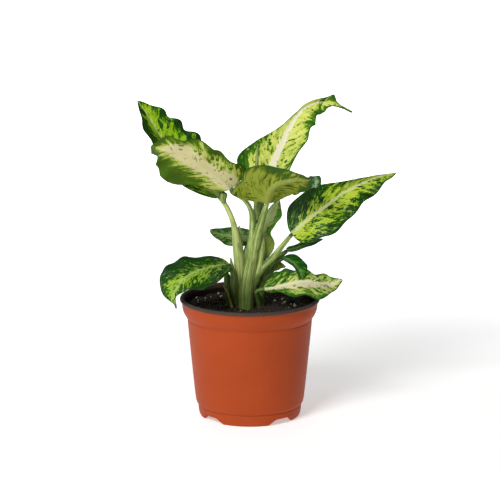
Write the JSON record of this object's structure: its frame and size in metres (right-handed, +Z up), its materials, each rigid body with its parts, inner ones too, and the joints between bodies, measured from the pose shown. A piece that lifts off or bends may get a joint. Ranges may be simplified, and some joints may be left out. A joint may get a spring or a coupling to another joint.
{
  "type": "potted dieffenbachia",
  "caption": "Young variegated dieffenbachia with broad wavy leaves on fleshy stalks, standing in potting mix in a tapered plastic nursery pot with a rolled rim and drain notches.",
  "frame": {"origin": "the middle of the pot's flat base, on the surface that it stands on", "axes": "+Z up along the pot's axis, +X to the right and -Y towards the viewer of the picture"},
  "size_m": [0.1937, 0.105, 0.239],
  "materials": {
    "pot_plastic": "satin terracotta plastic, black inside",
    "soil": "dark crumbly potting mix with white perlite",
    "stalk": "smooth pale green stalk",
    "young_leaf": "smooth green rolled leaf",
    "cream_leaf": "cream and lime leaf with dark flecks",
    "lime_leaf": "glossy lime leaf with dark blotches and margin",
    "olive_leaf": "matte olive leaf underside with fine dark veins",
    "dark_leaf": "glossy dark green leaf",
    "dry_leaf": "dry straw-coloured leaf base"
  },
  "bodies": {
    "root": {"pot": "pot_plastic", "soil": "soil", "shoot_centre": "stalk", "shoot_left": "stalk", "shoot_right": "stalk", "rolled_leaf": "young_leaf", "leaf_top": "cream_leaf", "leaf_upper_left": "lime_leaf", "leaf_front_left": "cream_leaf", "leaf_front_centre": "olive_leaf", "leaf_right": "lime_leaf", "leaf_low_left": "lime_leaf", "leaf_low_right": "cream_leaf", "leaf_young": "olive_leaf", "leaf_small_left": "dark_leaf", "leaf_narrow_right": "dark_leaf", "leaf_arched_right": "dark_leaf", "leaf_tiny_right": "olive_leaf", "dry_sheath": "dry_leaf"}
  },
  "joints": []
}
